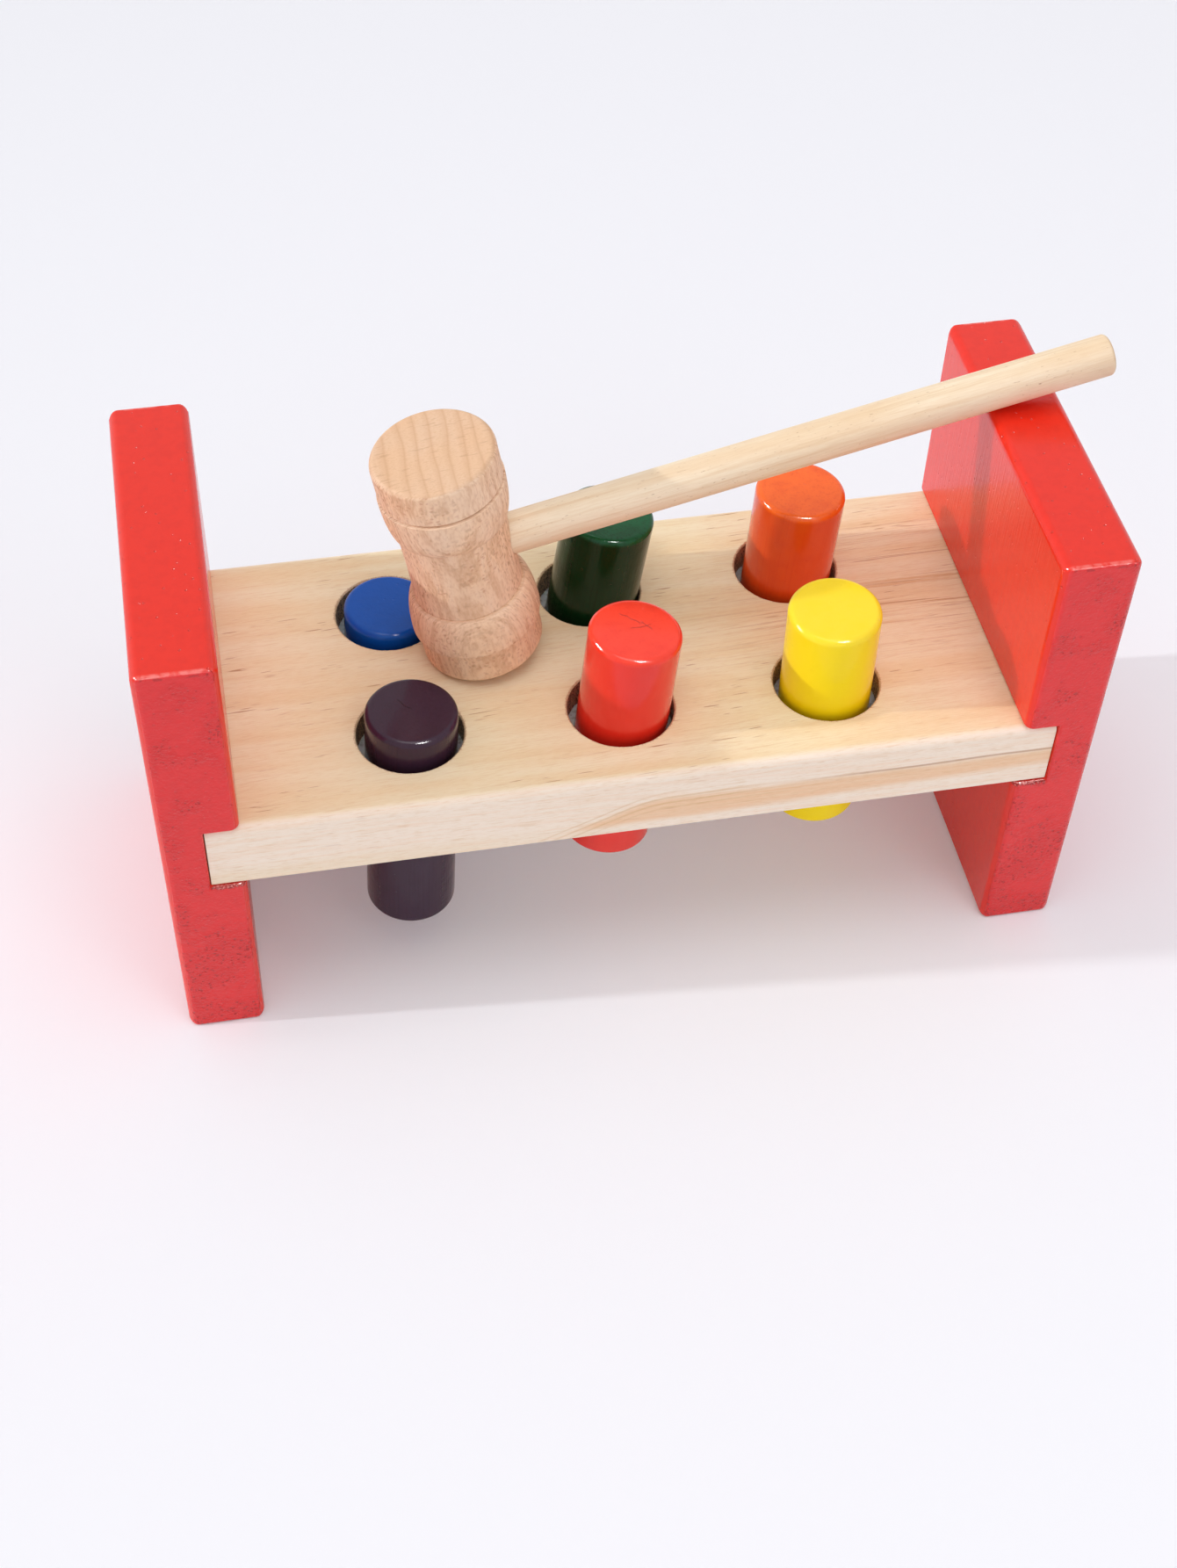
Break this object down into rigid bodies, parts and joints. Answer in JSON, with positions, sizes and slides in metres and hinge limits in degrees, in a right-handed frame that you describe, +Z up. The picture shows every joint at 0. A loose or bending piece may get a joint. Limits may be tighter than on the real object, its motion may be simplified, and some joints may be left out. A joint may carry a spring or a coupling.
{
  "type": "toy pounding bench",
  "caption": "Wooden pounding bench: a plank deck between end panels, loose painted pegs in through holes, and a turned hammer lying across it.",
  "frame": {"origin": "on the table under the bench, midway between the end panels and midway across their depth", "axes": "+X along the deck towards the right panel, +Y towards the back, +Z up"},
  "size_m": [0.2309, 0.0882, 0.1368],
  "materials": {
    "panel_red_paint": "gloss paint on wood",
    "deck_pine": "planed and sanded, bare",
    "head_beech": "turned and sanded, bare",
    "handle_birch": "sanded, bare",
    "peg_blue_paint": "gloss paint on wood",
    "ring_rubber": "matt, slightly translucent rubber",
    "peg_green_paint": "gloss paint on wood",
    "peg_orange_paint": "gloss paint on wood",
    "peg_purple_paint": "gloss paint on wood",
    "peg_red_paint": "gloss paint on wood",
    "peg_yellow_paint": "gloss paint on wood"
  },
  "bodies": {
    "bench": {"left_end_panel": "panel_red_paint", "right_end_panel": "panel_red_paint", "bench_deck": "deck_pine", "blue_ring": "ring_rubber", "green_ring": "ring_rubber", "orange_ring": "ring_rubber", "purple_ring": "ring_rubber", "red_ring": "ring_rubber", "yellow_ring": "ring_rubber"},
    "blue_peg": {"blue_peg": "peg_blue_paint"},
    "green_peg": {"green_peg": "peg_green_paint"},
    "orange_peg": {"orange_peg": "peg_orange_paint"},
    "purple_peg": {"purple_peg": "peg_purple_paint"},
    "red_peg": {"red_peg": "peg_red_paint"},
    "yellow_peg": {"yellow_peg": "peg_yellow_paint"},
    "hammer": {"hammer_head": "head_beech", "hammer_handle": "handle_birch"}
  },
  "joints": [
    {"name": "blue_peg_slide", "type": "slide", "parent": "bench", "child": "blue_peg", "axis": [0.0279, 0, 0.9996], "range_m": [-0.0026, 0.0008]},
    {"name": "green_peg_slide", "type": "slide", "parent": "bench", "child": "green_peg", "axis": [0.1322, 0, 0.9912], "range_m": [-0.025, 0.0101]},
    {"name": "orange_peg_slide", "type": "slide", "parent": "bench", "child": "orange_peg", "axis": [0.0505, 0, 0.9987], "range_m": [-0.0254, 0.017]},
    {"name": "purple_peg_slide", "type": "slide", "parent": "bench", "child": "purple_peg", "axis": [0.0349, 0, 0.9994], "range_m": [-0.0072, 0.0388]},
    {"name": "red_peg_slide", "type": "slide", "parent": "bench", "child": "red_peg", "axis": [0.0853, 0.0209, 0.9961], "range_m": [-0.0241, 0.0218]},
    {"name": "yellow_peg_slide", "type": "slide", "parent": "bench", "child": "yellow_peg", "axis": [-0.0174, -0.0279, 0.9995], "range_m": [-0.0249, 0.0211]},
    {"name": "hammer_lift", "type": "slide", "parent": "bench", "child": "hammer", "axis": [0, 0, 1], "range_m": [0, 0.08]}
  ]
}
